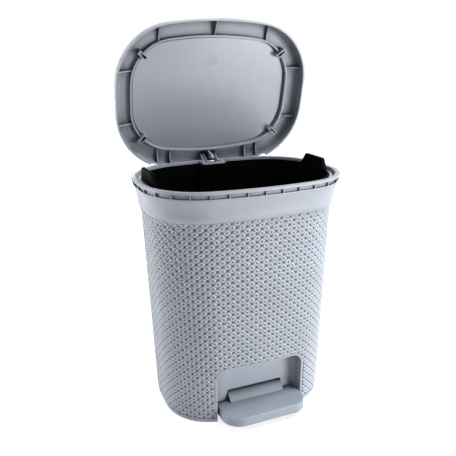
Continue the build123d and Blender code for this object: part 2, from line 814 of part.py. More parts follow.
# Lid panel, a flanged dish held by four prongs
with BuildPart() as lid_panel:
    with BuildSketch(lid_plane(lid_top_z)):
        add(plan(rim, lid_inset + panel_border))
    extrude(amount=panel_flange)
    top_face = lid_panel.faces().filter_by(lid_plane(0)).sort_by(Axis.Y)[-1]
    chamfer(top_face.edges(), panel_chamfer)
    with BuildSketch(lid_plane(panel_low_z)):
        add(plan(rim, lid_inner_inset + lid_wall + panel_groove))
    extrude(amount=panel_plug)
    with BuildSketch(lid_plane(panel_low_z + panel_thick)):
        add(plan(rim, panel_field_inset))
    extrude(amount=panel_plug + panel_flange, mode=Mode.SUBTRACT)
    with BuildSketch(lid_plane(panel_low_z)):
        with Locations((0, panel_mark_y)):
            Circle(panel_mark_r)
    extrude(amount=panel_mark_depth, mode=Mode.SUBTRACT)
    with BuildSketch(lid_plane(lid_top_z - prong_length)):
        with Locations(*prong_locations):
            Rectangle(clip_slot_length - 2 * prong_gap, clip_slot_width - 2 * prong_gap)
    extrude(amount=prong_length)
lid_panel.part.label = "lid_panel"
export_step(lid_panel.part, "parts/lid_panel.step")

# Hinge pin
with BuildPart() as hinge_pin:
    with BuildSketch(Plane.YZ):
        with Locations((hinge_y, hinge_z)):
            Circle(pin_r)
    extrude(amount=pocket_half, both=True)
hinge_pin.part.label = "hinge_pin"
export_step(hinge_pin.part, "parts/hinge_pin.step")

# Push rod, a wire with both ends bent over
with BuildPart() as push_rod:
    with BuildLine():
        wire = FilletPolyline(
            (-rod_end_x, crank_y, crank_z),
            (rod_x, crank_y, crank_z),
            (rod_x, rod_foot_y, rod_foot_z),
            (-rod_end_x, rod_foot_y, rod_foot_z),
            radius=rod_bend,
        )
    with BuildSketch(Plane(origin=wire @ 0, z_dir=wire % 0)):
        Circle(rod_r)
    sweep()
push_rod.part.label = "push_rod"
export_step(push_rod.part, "parts/push_rod.step")

# Push-on clips on the wire's ends
with BuildPart() as rod_top_clip:
    with BuildSketch(Plane.YZ.offset(-fin_thick / 2 - rod_clip_gap)):
        with Locations((crank_y, crank_z)):
            Circle(rod_clip_r)
            Circle(rod_r + axle_seat_gap, mode=Mode.SUBTRACT)
    extrude(amount=-rod_clip_thick)
rod_top_clip.part.label = "rod_top_clip"
export_step(rod_top_clip.part, "parts/rod_top_clip.step")

with BuildPart() as rod_bottom_clip:
    with BuildSketch(Plane.YZ.offset(-web_thick / 2 - rod_clip_gap)):
        with Locations((rod_foot_y, rod_foot_z)):
            Circle(rod_clip_r)
            Circle(rod_r + axle_seat_gap, mode=Mode.SUBTRACT)
    extrude(amount=-rod_clip_thick)
rod_bottom_clip.part.label = "rod_bottom_clip"
export_step(rod_bottom_clip.part, "parts/rod_bottom_clip.step")

# Pedal tread: a hollow plate, a raised tongue that goes through the slot, and the hub on the axle
tread_slope = radians(tread_tilt)
tread_plane = Plane(
    origin=(0, tread_front_y, tread_top_z), x_dir=(1, 0, 0), z_dir=(0, sin(tread_slope), cos(tread_slope))
)
fold_z = tread_top_z - (tongue_fold_y - tread_front_y) * tan(tread_slope)
hub_half = post_x - post_width / 2 - hub_end_gap


def tread_outline(inset):
    """Plan of the foot plate, drawn in by inset."""
    with BuildSketch() as face:
        with Locations((0, tread_depth / 2)):
            Rectangle(2 * (tread_half_width - inset), tread_depth - 2 * inset)
        fillet(face.vertices().group_by(Axis.Y)[0], tread_front_round - inset)
        fillet(face.vertices().group_by(Axis.Y)[-1], tread_back_round - inset)
    return face.sketch


def tongue_outline():
    """Side view of the tongue from the fold in the plate to the hub."""
    rise = tongue_crest_z - fold_z
    with BuildSketch() as face:
        with BuildLine():
            ThreePointArc(
                (tongue_fold_y, fold_z),
                (tongue_fold_y + 0.4 * (tongue_crest_y - tongue_fold_y), fold_z + 0.62 * rise),
                (tongue_crest_y, tongue_crest_z),
            )
            Polyline(
                (tongue_crest_y, tongue_crest_z),
                (tongue_crest_y + tongue_flat, tongue_crest_z),
                (pivot_y + hub_r, pivot_z + hub_r / 2),
                (pivot_y + hub_r, pivot_z - hub_r / 2),
                (pivot_y, pivot_z - hub_r),
                (tongue_crest_y, pivot_z - hub_r),
                (tongue_fold_y, fold_z - tread_skin),
                (tongue_fold_y, fold_z),
            )
        make_face()
    return face.sketch


with BuildPart() as pedal_tread:
    with BuildSketch(tread_plane):
        add(tread_outline(0))
    extrude(amount=-tread_thick)
    fillet(pedal_tread.faces().sort_by(Axis.Z)[-1].edges(), tread_edge)
    with BuildSketch(tread_plane.offset(-tread_skin)):
        add(tread_outline(tread_skin))
    extrude(amount=-tread_thick, mode=Mode.SUBTRACT)
    with BuildSketch(Plane.YZ):
        add(tongue_outline())
    extrude(amount=tongue_half_width, both=True)
    cell_pitch = (2 * tongue_half_width - tongue_wall) / tongue_cells
    for cell in range(tongue_cells):
        with BuildSketch(Plane.YZ.offset(-tongue_half_width + tongue_wall + cell * cell_pitch)):
            add(tongue_outline())
            offset(amount=-tongue_wall, mode=Mode.REPLACE)
            with Locations(((tongue_fold_y + pivot_y) / 2, pivot_z - hub_r)):
                Rectangle(pivot_y - tongue_fold_y - 4 * tongue_wall, hub_r)
            with Locations((pivot_y, pivot_z)):
                Circle(hub_r, mode=Mode.SUBTRACT)
        extrude(amount=cell_pitch - tongue_wall, mode=Mode.SUBTRACT)
    for side in (1, -1):
        with BuildSketch(tread_plane):
            with Locations((side * (tongue_half_width + slit_width / 2), tread_depth)):
                Rectangle(slit_width, 2 * (tread_depth + tread_front_y - tongue_fold_y))
        extrude(amount=-tread_thick, mode=Mode.SUBTRACT)
    with BuildSketch(Plane.YZ):
        with Locations((pivot_y, pivot_z)):
            Circle(hub_r)
    extrude(amount=hub_half, both=True)
    with BuildSketch(lever_plane(flange_low + flange_thick)):
        with Locations((0, (tab_start + tab_end) / 2)):
            Rectangle(2 * tab_half_width, tab_end - tab_start)
        with Locations((tread_screw_x, tread_screw_along), (-tread_screw_x, tread_screw_along)):
            Circle(tread_screw_r + screw_hole_gap, mode=Mode.SUBTRACT)
    extrude(amount=tab_thick)
    with BuildSketch(Plane.YZ):
        with Locations((pivot_y, pivot_z)):
            Circle(axle_r + axle_run_gap)
    extrude(amount=hub_half, both=True, mode=Mode.SUBTRACT)
pedal_tread.part.label = "pedal_tread"
export_step(pedal_tread.part, "parts/pedal_tread.step")

# Pedal lever: a tapered flange on a web that ends in a slot for the push rod
with BuildPart() as pedal_lever:
    with BuildSketch(lever_plane(flange_low)):
        add(
            outline_of(
                (-tab_half_width, flange_start),
                (tab_half_width, flange_start),
                (tab_half_width, tab_end),
                (flange_tip_half, flange_taper_end),
                (-flange_tip_half, flange_taper_end),
                (-tab_half_width, tab_end),
            )
        )
        with Locations((tread_screw_x, tread_screw_along), (-tread_screw_x, tread_screw_along)):
            Circle(tread_screw_r + axle_seat_gap, mode=Mode.SUBTRACT)
    extrude(amount=flange_thick)
    with BuildSketch(lever_side(-web_thick / 2)):
        add(
            outline_of(
                (flange_start, web_low),
                (arm_length + web_end, web_low),
                (arm_length + web_end, web_high),
                (tab_end + tab_thick, web_high),
                (tab_end + tab_thick / 2, flange_low + flange_thick),
                (flange_start, flange_low + flange_thick),
            )
        )
        fork_length = fork_slide + 2 * fork_gap_along
        fork_width = 2 * (rod_r + fork_gap_across)
        with Locations((arm_length - fork_slide / 2, 0)):
            SlotOverall(fork_length + fork_width, fork_width, mode=Mode.SUBTRACT)
    extrude(amount=web_thick)
pedal_lever.part.label = "pedal_lever"
export_step(pedal_lever.part, "parts/pedal_lever.step")

# Screws that join lever and tread
tab_top = flange_low + flange_thick + tab_thick
with BuildPart() as tread_screws:
    with BuildSketch(lever_plane(flange_low - flange_thick)):
        with Locations((tread_screw_x, tread_screw_along), (-tread_screw_x, tread_screw_along)):
            Circle(tread_screw_r)
    extrude(amount=tab_top - flange_low + flange_thick)
    with BuildSketch(lever_plane(tab_top)):
        with Locations((tread_screw_x, tread_screw_along), (-tread_screw_x, tread_screw_along)):
            Circle(screw_head_r + screw_hole_gap)
    extrude(amount=screw_head_height)
tread_screws.part.label = "tread_screws"
export_step(tread_screws.part, "parts/tread_screws.step")

# Pedal axle
with BuildPart() as pedal_axle:
    with BuildSketch(Plane.YZ):
        with Locations((pivot_y, pivot_z)):
            Circle(axle_r)
    extrude(amount=post_x + post_width / 2, both=True)
pedal_axle.part.label = "pedal_axle"
export_step(pedal_axle.part, "parts/pedal_axle.step")


def cap_outline():
    """Side view of a cap, a block with half a round seat in its underside."""
    with BuildSketch() as face:
        with Locations((pivot_y, pivot_z + cap_height / 2)):
            Rectangle(post_depth, cap_height)
        with Locations((pivot_y, pivot_z)):
            Circle(axle_r + axle_seat_gap, mode=Mode.SUBTRACT)
    return face.sketch


# Caps over the axle's ends
with BuildPart() as pivot_cap_left:
    with BuildSketch(Plane.YZ.offset(-post_x - post_width / 2)):
        add(cap_outline())
    extrude(amount=post_width)
    with BuildSketch(Plane.XY.offset(pivot_z)):
        with Locations((-post_x, pivot_y + cap_screw_y), (-post_x, pivot_y - cap_screw_y)):
            Circle(screw_r + screw_hole_gap)
    extrude(amount=cap_height, mode=Mode.SUBTRACT)
pivot_cap_left.part.label = "pivot_cap_left"
export_step(pivot_cap_left.part, "parts/pivot_cap_left.step")

with BuildPart() as pivot_cap_right:
    with BuildSketch(Plane.YZ.offset(post_x - post_width / 2)):
        add(cap_outline())
    extrude(amount=post_width)
    with BuildSketch(Plane.XY.offset(pivot_z)):
        with Locations((post_x, pivot_y + cap_screw_y), (post_x, pivot_y - cap_screw_y)):
            Circle(screw_r + screw_hole_gap)
    extrude(amount=cap_height, mode=Mode.SUBTRACT)
pivot_cap_right.part.label = "pivot_cap_right"
export_step(pivot_cap_right.part, "parts/pivot_cap_right.step")

# Screws that hold the caps down
with BuildPart() as cap_screws:
    with BuildSketch(Plane.XY.offset(pivot_z + cap_height)):
        for side in (1, -1):
            with Locations((side * post_x, pivot_y + cap_screw_y), (side * post_x, pivot_y - cap_screw_y)):
                Circle(screw_r)
    extrude(amount=-cap_height - screw_bite)
    with BuildSketch(Plane.XY.offset(pivot_z + cap_height)):
        for side in (1, -1):
            with Locations((side * post_x, pivot_y + cap_screw_y), (side * post_x, pivot_y - cap_screw_y)):
                Circle(screw_head_r)
    extrude(amount=screw_head_height)
cap_screws.part.label = "cap_screws"
export_step(cap_screws.part, "parts/cap_screws.step")
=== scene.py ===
import math

import bpy
import numpy as np
from mathutils import Matrix, Vector


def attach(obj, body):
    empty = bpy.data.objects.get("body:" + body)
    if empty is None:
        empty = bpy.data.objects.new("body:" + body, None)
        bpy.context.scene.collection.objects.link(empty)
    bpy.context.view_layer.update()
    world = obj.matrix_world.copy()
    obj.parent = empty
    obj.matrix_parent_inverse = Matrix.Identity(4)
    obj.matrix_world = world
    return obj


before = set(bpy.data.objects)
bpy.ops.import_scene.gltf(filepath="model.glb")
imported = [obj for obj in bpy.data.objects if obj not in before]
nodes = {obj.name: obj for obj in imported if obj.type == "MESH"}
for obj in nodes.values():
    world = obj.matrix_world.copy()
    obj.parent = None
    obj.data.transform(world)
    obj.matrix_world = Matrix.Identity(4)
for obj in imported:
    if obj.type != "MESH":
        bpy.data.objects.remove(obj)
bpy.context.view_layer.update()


# Body shell
# One deep injection moulding in grey-blue polypropylene, with a satin skin straight from the tool.
# Everything else is carried by it: the pedal below, the bag ring and bucket inside, the lid at the back.
body_grey = (0.448, 0.483, 0.545)
body_gloss = 0.46
# Corners of the plastics are painted darker where walls stand near: painted shade
painted_corner_shade = (0.10, 0.11, 0.13)
painted_corner_range = (0.25, 0.92)  # share of open sky at which a corner is darkest, and at which it is clear
drift_scale = 14.0
tint_range = (0.3, 0.7)
gloss_drift = 0.06


def shader(material, kind, place=(0, 0), **values):
    """A node of that kind in the material, with its sockets or settings set by name."""
    made = material.node_tree.nodes.new(kind)
    made.location = place
    for key, value in values.items():
        socket = key.replace("_", " ")
        if socket in made.inputs:
            made.inputs[socket].default_value = value
        else:
            setattr(made, key, value)
    return made


def shade_between(material, amount, dark):
    """Takes the colour of a material towards dark, a share of itself, where amount falls from 1 to 0."""
    join = material.node_tree.links.new
    skin = material.node_tree.nodes["Principled BSDF"]
    plain = skin.inputs["Base Color"].links[0].from_socket
    darker = shader(material, "ShaderNodeMix", (0, 450), data_type="RGBA", blend_type="MULTIPLY")
    darker.inputs["Factor"].default_value = 1.0
    shade = shader(material, "ShaderNodeMix", (300, 350), data_type="RGBA")
    join(plain, darker.inputs["A"])
    darker.inputs["B"].default_value = (*dark, 1)
    join(amount, shade.inputs["Factor"])
    join(darker.outputs["Result"], shade.inputs["A"])
    join(plain, shade.inputs["B"])
    join(shade.outputs["Result"], skin.inputs["Base Color"])


def moulded_plastic(
    name,
    colour,
    gloss,
    shine=0.5,
    mottle=0.05,
    grain=0.0007,
    grain_height=0.00002,
    edge=0.0006,
    corner_shade_reach=0.0,
    alone=True,
):
    """Moulded plastic: a slow drift of colour, a fine eroded grain, and edges rounded as a tool leaves them.

    The reach given for painted corner shade is how far off a wall still darkens a corner: a wall of the same
    piece if it stands alone, and of its neighbours too if not."""
    material = bpy.data.materials.new(name)
    material.use_nodes = True
    material.node_tree.nodes.clear()
    join = material.node_tree.links.new
    out = shader(material, "ShaderNodeOutputMaterial", (900, 0))
    skin = shader(material, "ShaderNodeBsdfPrincipled", (600, 0), IOR=1.5, Specular_IOR_Level=shine)
    join(skin.outputs["BSDF"], out.inputs["Surface"])
    where = shader(material, "ShaderNodeTexCoord", (-900, 0))
    drift = shader(material, "ShaderNodeTexNoise", (-650, 250), Scale=drift_scale, Detail=3.0, Roughness=0.55)
    join(where.outputs["Object"], drift.inputs["Vector"])
    tint = shader(material, "ShaderNodeValToRGB", (-400, 250))
    tint.color_ramp.elements[0].position = tint_range[0]
    tint.color_ramp.elements[1].position = tint_range[1]
    tint.color_ramp.elements[0].color = (*(c * (1 - mottle) for c in colour), 1)
    tint.color_ramp.elements[1].color = (*(c * (1 + mottle) for c in colour), 1)
    join(drift.outputs["Fac"], tint.inputs["Fac"])
    grains = shader(material, "ShaderNodeTexNoise", (-650, -250), Scale=1 / grain, Detail=2.0, Roughness=0.6)
    join(where.outputs["Object"], grains.inputs["Vector"])
    dull = shader(material, "ShaderNodeMapRange", (-400, -50))
    dull.inputs["To Min"].default_value = gloss - gloss_drift
    dull.inputs["To Max"].default_value = gloss + gloss_drift
    join(grains.outputs["Fac"], dull.inputs["Value"])
    join(dull.outputs["Result"], skin.inputs["Roughness"])
    soft_edge = shader(material, "ShaderNodeBevel", (-400, -450), samples=4, Radius=edge)
    bump = shader(material, "ShaderNodeBump", (200, -300), Strength=1.0, Distance=grain_height)
    join(grains.outputs["Fac"], bump.inputs["Height"])
    join(soft_edge.outputs["Normal"], bump.inputs["Normal"])
    join(bump.outputs["Normal"], skin.inputs["Normal"])
    join(tint.outputs["Color"], skin.inputs["Base Color"])
    if corner_shade_reach:
        # Painted shade: the less open sky the ambient occlusion finds round a point, the darker its colour
        corner = shader(material, "ShaderNodeAmbientOcclusion", (-650, 550), samples=12, only_local=alone)
        corner.inputs["Distance"].default_value = corner_shade_reach
        open_share = shader(material, "ShaderNodeMapRange", (-400, 550))
        open_share.inputs["From Min"].default_value = painted_corner_range[0]
        open_share.inputs["From Max"].default_value = painted_corner_range[1]
        join(corner.outputs["AO"], open_share.inputs["Value"])
        shade_between(material, open_share.outputs["Result"], painted_corner_shade)
    return material


def finish_node(node, material):
    """Gives a CAD node its finish."""
    mesh = nodes[node].data
    mesh.materials.clear()
    mesh.materials.append(material)


# The body's corners and recesses carry painted shade
finish_node("outer_body", moulded_plastic("body_plastic", body_grey, body_gloss, corner_shade_reach=0.024))


# Knit fields of the body wall
# The tool is engraved so that the wall looks knitted: staggered rings of yarn, each a rounded lozenge with an eye.
# The fields lie in the shallow recess of the wall, from the base strip to the foot of the shoulder and round
# the pedal arch.
front_bow = 0.525
side_bow = 0.850
base_size = (0.1255, 0.09235, 0.071)
wall_top_size = (0.1378, 0.0996, 0.079)
wall_top = 0.303
recess_depth = 0.0009
yarn_proud = 0.00080
skin_back = 0.0003
skin_lift = 0.00004
arcs_round = 9  # arcs of an outline, with the front bow counted as two halves
eyes_round = 56
row_pitch = 0.01212
eye_start = 0.00235
row_start = 0.00173
samples = 20
stitch_half_width = 0.0054
stitch_half_height = 0.0046
stitch_squareness = 1.5
eye_radius = 0.0006
eye_slope = 0.0010
least_reach = 1e-9  # keeps the middle of an eye from dividing by nothing
edge_slope = 0.0011
eye_shade_reach = (0.0006, 0.0015)
pit_shade_reach = (1.01, 1.07)
# Eyes and pits of the knit are painted darker: painted shade
pit_painted_shade = (0.035, 0.045, 0.065)
# The yarn is the body's plastic, painted lighter than the body grey: painted light
knit_painted_lighter_grey = (0.498, 0.537, 0.606)
field_low = 0.0056
field_high = 0.3072
shoulder_up = (0.303, 0.306, 0.309)
shoulder_out = (0.0, 0.0021, 0.0039)
arch_half = 0.0716
arch_height = 0.0866
arch_round = 0.0206
cut_margin = 0.0008


def outline_corner(size):
    """Centre of the corner circle that touches the bowed front and the bowed flank from inside."""
    half_width, half_depth, corner = size
    bow_gap, flank_gap = front_bow - corner, side_bow - corner
    bow_centre = np.array([0.0, half_depth - front_bow])
    between = np.array([half_width - side_bow, 0.0]) - bow_centre
    length = np.hypot(*between)
    along = (length**2 + bow_gap**2 - flank_gap**2) / (2 * length)
    across = math.sqrt(bow_gap**2 - along**2)
    way = between / length
    return bow_centre + way * along + np.array([way[1], -way[0]]) * across


def outline_facing(size, place):
    """Direction faced (an angle) at a place round an outline, from the middle of the front towards the right.

    A place counts the arcs passed, a half arc first: front bow, corner, flank, corner, back bow and so on."""
    corner_x, corner_y = outline_corner(size)
    bow = math.asin(corner_x / (front_bow - size[2]))
    flank = math.asin(corner_y / (side_bow - size[2]))
    quarter = math.pi / 2
    ends = (-quarter, bow - quarter, -flank, flank, quarter - bow, quarter + bow, math.pi - flank)
    ends += (math.pi + flank, 3 * quarter - bow, 3 * quarter)
    return np.interp(place, np.arange(arcs_round + 1), ends)


def bowed_outline(size, place):
    """Points of the bowed rounded rectangle at places round it: the centre of each arc plus its radius
    along the direction faced there."""
    half_width, half_depth, corner = size
    corner_x, corner_y = outline_corner(size)
    facing = outline_facing(size, place)
    out_x, out_y = np.cos(facing), np.sin(facing)
    arc = np.clip(np.floor(place), 0, arcs_round - 1).astype(int)
    on_bow, on_flank = np.isin(arc, (0, 4, 8)), np.isin(arc, (2, 6))
    x = np.where(on_bow, front_bow * out_x, np.sign(out_x) * corner_x + corner * out_x)
    y = np.sign(out_y) * corner_y + corner * out_y
    y = np.where(on_bow, np.sign(out_y) * (half_depth - front_bow) + front_bow * out_y, y)
    x = np.where(on_flank, np.sign(out_x) * (half_width - side_bow) + side_bow * out_x, x)
    y = np.where(on_flank, side_bow * out_y, y)
    return np.stack([x, y], -1)


def wall_points(place, up, proud):
    """Points on the tapered wall: straight lines from the base outline to the outline under the shoulder,
    moved out of the wall's recess by proud along the direction that the wall faces."""
    share = (up / wall_top)[..., None]
    plan = bowed_outline(base_size, place) * (1 - share) + bowed_outline(wall_top_size, place) * share
    facing = outline_facing(middle_size, place)
    out = np.stack([np.cos(facing), np.sin(facing)], -1)
    return np.concatenate([plan + out * (proud - recess_depth)[..., None], up[..., None]], -1)


def knit_stitches(across, up):
    """Height of the knit, and the share of it left clear of painted shade, both from 0 to 1.

    Round each eye of two staggered sets lies a ring of yarn. Its outer edge is a rounded lozenge: there the
    distances aside and above, as shares of the half width and half height and raised to the squareness, add up
    to 1. The ring rises from the eye's edge and falls to the lozenge's edge, each over a quarter wave. Eyes, and
    the pits that four lozenges leave between them, are shut in and get painted shade."""
    height = np.zeros(np.shape(across))
    from_eye = np.full(np.shape(across), np.inf)
    from_lozenge = np.full(np.shape(across), np.inf)
    for stagger in (0.0, 0.5):
        above = ((up / row_pitch - stagger + 0.5) % 1 - 0.5) * row_pitch
        aside = ((across / eye_pitch - stagger + 0.5) % 1 - 0.5) * eye_pitch
        reach = np.hypot(aside, above)
        aside_share = np.abs(aside) / stitch_half_width
        above_share = np.abs(above) / stitch_half_height
        powers = aside_share**stitch_squareness + above_share**stitch_squareness
        lozenge = powers ** (1 / stitch_squareness) + least_reach
        rise = np.clip((reach - eye_radius) / eye_slope, 0, 1)
        fall = np.clip((reach / lozenge - reach) / edge_slope, 0, 1)
        height = np.maximum(height, np.sin(math.pi / 2 * rise) * np.sin(math.pi / 2 * fall))
        from_eye = np.minimum(from_eye, reach)
        from_lozenge = np.minimum(from_lozenge, lozenge)
    in_eye = np.interp(from_eye, eye_shade_reach, (1, 0))
    in_pit = np.interp(from_lozenge, pit_shade_reach, (0, 1))
    return height, (1 - in_eye) * (1 - in_pit)


def relief_piece(name, front, back_low, back_high, unshaded_share, material):
    """Closed slab: a grid of front points (rows of columns), a ruled back between two rows, and four edges.

    The share of each point left clear of the painted shade goes onto the points as an attribute."""
    rows, columns = front.shape[:2]
    grid = np.arange(rows * columns).reshape(rows, columns)
    low = rows * columns + np.arange(columns)
    high = low + columns
    faces = np.stack([grid[:-1, :-1], grid[:-1, 1:], grid[1:, 1:], grid[1:, :-1]], -1).reshape(-1, 4)
    rear = np.stack([low[1:], low[:-1], high[:-1], high[1:]], -1)
    foot = np.stack([grid[0, 1:], grid[0, :-1], low[:-1], low[1:]], -1)
    head = np.stack([grid[-1, :-1], grid[-1, 1:], high[1:], high[:-1]], -1)
    sides = [[*grid[:, 0], high[0], low[0]], [*grid[::-1, -1], low[-1], high[-1]]]
    points = np.concatenate([front.reshape(-1, 3), back_low, back_high])
    mesh = bpy.data.meshes.new(name)
    quads = np.concatenate([faces, rear, foot, head])
    mesh.from_pydata(points.tolist(), [], quads.tolist() + [[int(i) for i in side] for side in sides])
    smooth = np.zeros(len(mesh.polygons), bool)
    smooth[: len(faces)] = True
    mesh.polygons.foreach_set("use_smooth", smooth)
    to_light = mesh.attributes.new("unshaded_share", "FLOAT", "POINT")
    values = np.concatenate([unshaded_share.ravel(), np.zeros(2 * columns)])
    to_light.data.foreach_set("value", values.astype(np.float32))
    mesh.materials.append(material)
    piece = bpy.data.objects.new(name, mesh)
    bpy.context.scene.collection.objects.link(piece)
    return piece


# Distance round the wall at mid height, from the middle of the front, against the place on the outline
middle_size = tuple((a + b) / 2 for a, b in zip(base_size, wall_top_size))
place_count = 36001
places = np.linspace(0, arcs_round, place_count)
mid_wall = (bowed_outline(base_size, places) + bowed_outline(wall_top_size, places)) / 2
round_wall = np.concatenate([[0], np.cumsum(np.linalg.norm(np.diff(mid_wall, axis=0), axis=1))])
girth = round_wall[-1]
eye_pitch = girth / eyes_round
column_step = eye_pitch / samples
row_step = row_pitch / samples
knit_plastic = moulded_plastic("knit_plastic", knit_painted_lighter_grey, body_gloss)
# Painted shade on the knit: eyes and pits are darkened by the attribute that the fields carry
knit_unshaded_share = shader(knit_plastic, "ShaderNodeAttribute", (-400, 550), attribute_name="unshaded_share")
shade_between(knit_plastic, knit_unshaded_share.outputs["Fac"], pit_painted_shade)


def arch_top(x):
    """Height of the arch's border over the pedal recess: level, then a quarter round at each side."""
    over = np.clip(np.abs(x) - (arch_half - arch_round), 0, arch_round)
    return arch_height - arch_round + np.sqrt(arch_round**2 - over**2)


def knit_field(name, first, last, over_arch=False):
    """One field of the wall between two columns: the knit's height is added along the direction that the wall
    faces, and near the top the field leans out with the foot of the shoulder.

    Rows that the arch's border cuts off close up along it, and the relief fades to nothing at both ends."""
    across = eye_start + np.arange(first, last + 1) * column_step
    place = np.interp(across % girth, round_wall, places)
    low = arch_height - arch_round if over_arch else field_low
    first_row = math.ceil((low - row_start) / row_step)
    up = row_start + np.arange(first_row, math.floor((field_high - row_start) / row_step) + 1) * row_step
    up = np.repeat(up[:, None], len(across), 1)
    border = np.full(len(across), up[0, 0])
    if over_arch:
        border = arch_top(wall_points(place, up[0], np.zeros(len(place)))[:, 0])
        whole = border + cut_margin
        cut = border + (up - up[0]) * cut_margin / (whole - up[0])
        up = np.where(up < whole, cut, up)
    height, unshaded_share = knit_stitches(across - eye_start, up - row_start)
    proud = recess_depth + yarn_proud * np.clip((up - border) / cut_margin - 1, 0, 1)
    fade_low = np.clip((up - border) / cut_margin, 0, 1)
    fade_high = np.clip((field_high - up) / cut_margin, 0, 1)
    height = height * fade_low * fade_high
    place = np.repeat(place[None], len(up), 0)
    lean = np.interp(up, shoulder_up, shoulder_out)
    front = wall_points(place, up, height * proud + skin_lift + lean)
    back = np.full(len(across), -skin_back)
    back_low = wall_points(place[0], up[0], back)
    back_high = wall_points(place[-1], up[-1], back)
    piece = relief_piece(name, front, back_low, back_high, unshaded_share, knit_plastic)
    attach(piece, "can")


front_span = eyes_round * samples // 8
front_columns = np.arange(-front_span, front_span)
front_places = np.interp((eye_start + front_columns * column_step) % girth, round_wall, places)
low_up = np.full(len(front_columns), field_low)
front_x = wall_points(front_places, low_up, np.zeros(len(front_columns)))[:, 0]
arch_left = int(front_columns[front_x < -arch_half].max())
arch_right = int(front_columns[front_x > arch_half].min())
knit_field("knit_front", arch_left, arch_right, over_arch=True)
field_names = ("right_front", "right_back", "back_right", "back_left", "left_back", "left_front")
round_columns = eyes_round * samples - (arch_right - arch_left)
for index, field_name in enumerate(field_names):
    start = arch_right + round(round_columns * index / len(field_names))
    end = arch_right + round(round_columns * (index + 1) / len(field_names))
    knit_field("knit_" + field_name, start, end)


# Pedal axle, its caps and their screws
# A plain steel rod laid in half-round seats on two posts of the floor, under moulded caps with two screws each.
# The caps are of the body's plastic, and the screws are steel.
axle_steel = (0.62, 0.63, 0.65)
screw_colour = (0.70, 0.69, 0.66)
steel_gloss_drift = 0.07
steel_line_shade = 0.82
steel_line_depth = 0.00001
lines_along, lines_across = 60.0, 2500.0
screw_grain = 900.0


def bright_steel(name, colour, gloss, brushed):
    """Drawn or plated steel: metal with fine draw lines along its length and a slight drift of tint."""
    material = bpy.data.materials.new(name)
    material.use_nodes = True
    material.node_tree.nodes.clear()
    join = material.node_tree.links.new
    out = shader(material, "ShaderNodeOutputMaterial", (700, 0))
    skin = shader(material, "ShaderNodeBsdfPrincipled", (400, 0), Metallic=1.0)
    join(skin.outputs["BSDF"], out.inputs["Surface"])
    where = shader(material, "ShaderNodeTexCoord", (-900, 0))
    along = shader(material, "ShaderNodeMapping", (-700, 0), Scale=brushed)
    join(where.outputs["Object"], along.inputs["Vector"])
    lines = shader(material, "ShaderNodeTexNoise", (-450, 0), Scale=1.0, Detail=4.0)
    join(along.outputs["Vector"], lines.inputs["Vector"])
    tint = shader(material, "ShaderNodeValToRGB", (-200, 150))
    tint.color_ramp.elements[0].color = (*(c * steel_line_shade for c in colour), 1)
    tint.color_ramp.elements[1].color = (*colour, 1)
    join(lines.outputs["Fac"], tint.inputs["Fac"])
    join(tint.outputs["Color"], skin.inputs["Base Color"])
    dull = shader(material, "ShaderNodeMapRange", (-200, -150))
    dull.inputs["To Min"].default_value = gloss - steel_gloss_drift
    dull.inputs["To Max"].default_value = gloss + steel_gloss_drift
    join(lines.outputs["Fac"], dull.inputs["Value"])
    join(dull.outputs["Result"], skin.inputs["Roughness"])
    bump = shader(material, "ShaderNodeBump", (100, -300), Strength=0.4, Distance=steel_line_depth)
    join(lines.outputs["Fac"], bump.inputs["Height"])
    join(bump.outputs["Normal"], skin.inputs["Normal"])
    return material


drawn_across = bright_steel(
    "drawn_steel_across", axle_steel, gloss=0.32, brushed=(lines_along, lines_across, lines_across)
)
finish_node("pedal_axle", drawn_across)
cap_plastic = moulded_plastic("cap_plastic", body_grey, body_gloss)
for cap in ("pivot_cap_left", "pivot_cap_right"):
    finish_node(cap, cap_plastic)
screw_steel = bright_steel("screw_steel", screw_colour, gloss=0.36, brushed=(screw_grain,) * 3)
finish_node("cap_screws", screw_steel)


# Pedal: tread, lever and the screws between them
# The tread is a hollow moulding with a satin grained top and a ribbed tongue that goes through the slot.
# A stiff lever is screwed under the tongue and runs back inside the floor to the push rod.
pedal_blue = (0.355, 0.410, 0.475)
lever_grey = (0.30, 0.32, 0.35)
# The pedal's corners carry painted shade, also where walls of the body stand close
pedal_plastic = moulded_plastic(
    "pedal_plastic",
    pedal_blue,
    gloss=0.42,
    grain=0.0010,
    grain_height=0.00005,
    corner_shade_reach=0.016,
    alone=False,
)
finish_node("pedal_tread", pedal_plastic)
finish_node("pedal_lever", moulded_plastic("lever_plastic", lever_grey, gloss=0.5))
finish_node("tread_screws", screw_steel)


# Push rod and its clips
# Drawn steel wire, both ends bent over: the upper through the lid's crank, the lower in the lever's slot.
# A spring-steel washer pushed on each end keeps it there.
wire_grey = (0.13, 0.135, 0.145)
clip_grey = (0.20, 0.20, 0.21)
clip_grain = 1500.0
drawn_upright = bright_steel(
    "drawn_steel_upright", wire_grey, gloss=0.46, brushed=(lines_across, lines_across, lines_along)
)
finish_node("push_rod", drawn_upright)
clip_steel = bright_steel("clip_steel", clip_grey, gloss=0.40, brushed=(clip_grain,) * 3)
for clip in ("rod_top_clip", "rod_bottom_clip"):
    finish_node(clip, clip_steel)


# Bag ring and bucket
# The ring is a light moulding that stands on a ledge inside the rim and hides the edge of a bag.
# The bucket is a plain black tub with a turned-out rim and two raised grips, hung on the ring's shelf.
# The ring's corners carry painted shade
finish_node("bag_ring", moulded_plastic("ring_plastic", body_grey, gloss=0.42, corner_shade_reach=0.008))
bucket_black = (0.0018, 0.0018, 0.002)
black_plastic = moulded_plastic("black_plastic", bucket_black, gloss=0.55, shine=0.02, mottle=0.2)
finish_node("inner_bucket", black_plastic)


